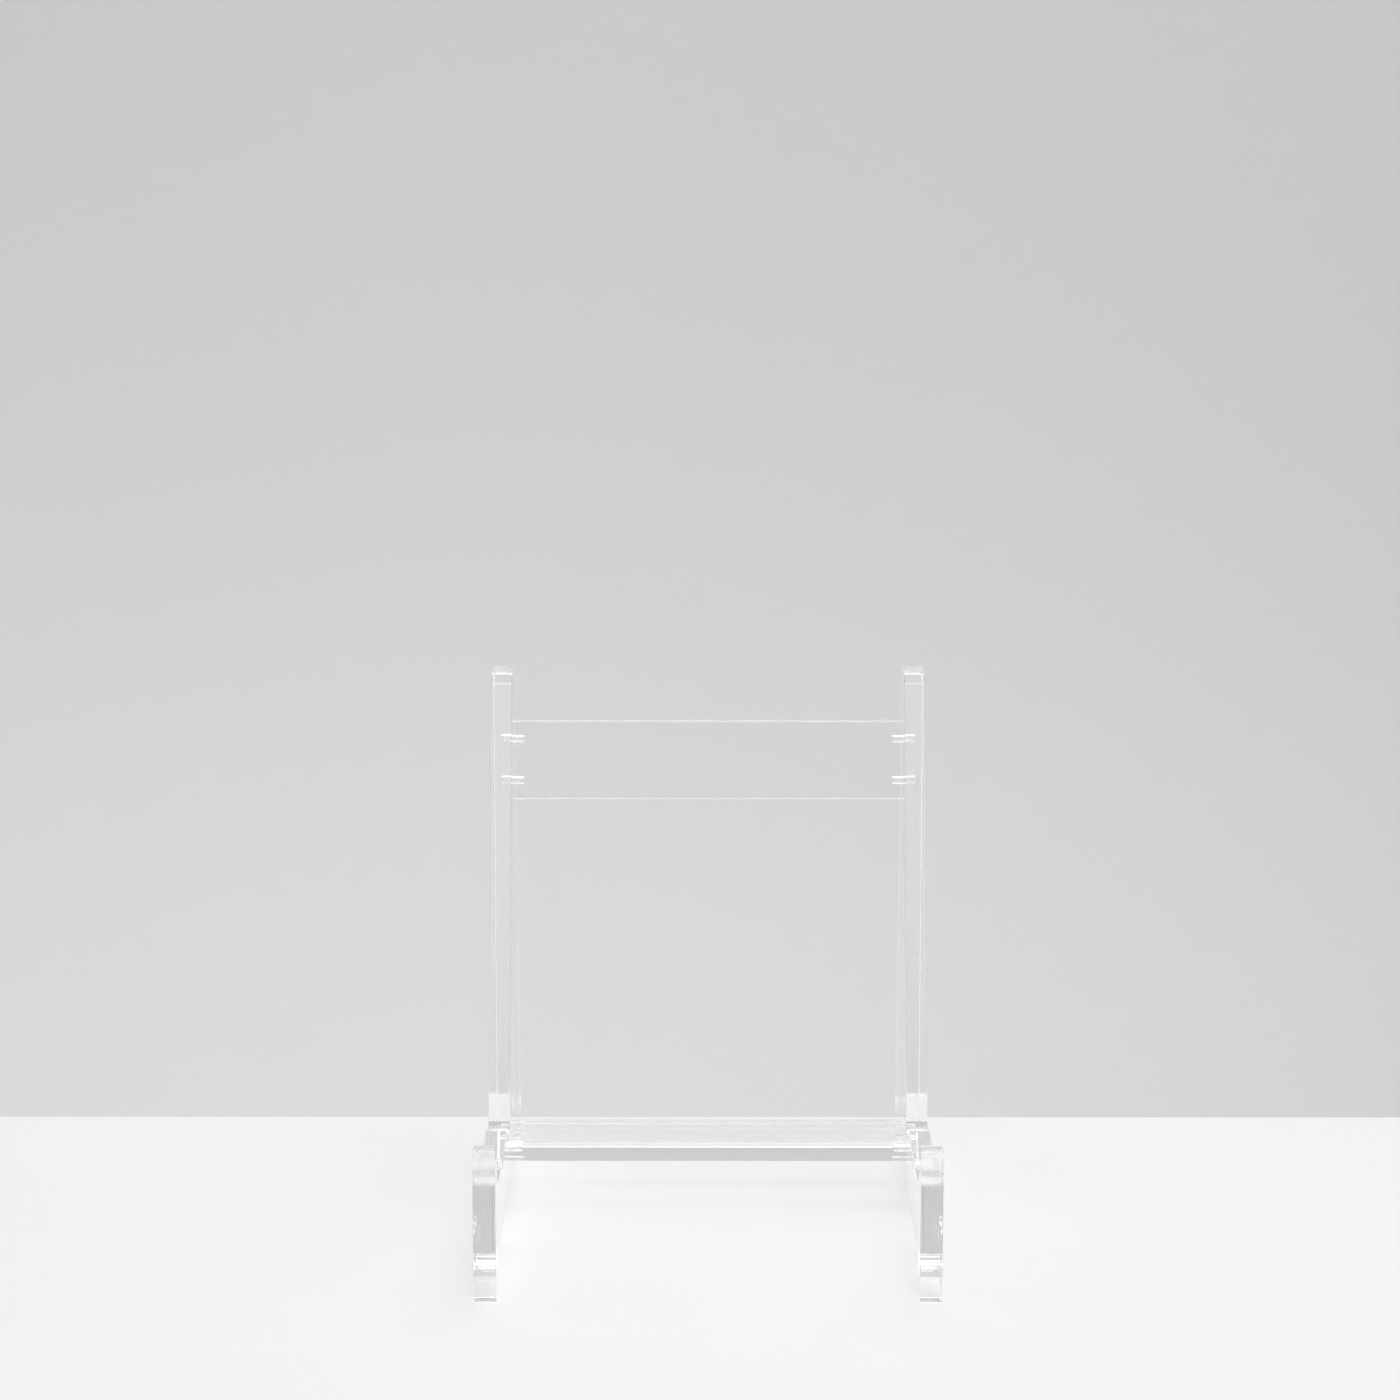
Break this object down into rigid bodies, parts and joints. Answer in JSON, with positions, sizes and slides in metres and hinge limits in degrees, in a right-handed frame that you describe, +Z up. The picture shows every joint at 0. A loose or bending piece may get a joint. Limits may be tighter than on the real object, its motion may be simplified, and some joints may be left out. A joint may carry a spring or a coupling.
{
  "type": "plate display stand",
  "caption": "Clear acrylic stand that holds a plate upright: side frames with a front lip, seats for the rim and a leaning upright, tied by cross bars on dowels.",
  "frame": {"origin": "on the table, under the centre of the stand's box", "axes": "+X to the right seen from the front, +Y from the front lips to the rear feet, +Z up"},
  "size_m": [0.166, 0.1949, 0.2],
  "materials": {
    "frame_acrylic": "clear cast acrylic, faces as cast, cut edges polished",
    "bar_acrylic": "clear cast acrylic strip, cut edges polished",
    "dowel_acrylic": "clear extruded acrylic rod, cut ends lightly chamfered"
  },
  "bodies": {
    "root": {"left_side_frame": "frame_acrylic", "right_side_frame": "frame_acrylic", "lower_cross_bar": "bar_acrylic", "upper_cross_bar": "bar_acrylic", "lower_dowel_left_front": "dowel_acrylic", "lower_dowel_left_rear": "dowel_acrylic", "lower_dowel_right_front": "dowel_acrylic", "lower_dowel_right_rear": "dowel_acrylic", "upper_dowel_left_bottom": "dowel_acrylic", "upper_dowel_left_top": "dowel_acrylic", "upper_dowel_right_bottom": "dowel_acrylic", "upper_dowel_right_top": "dowel_acrylic"}
  },
  "joints": []
}
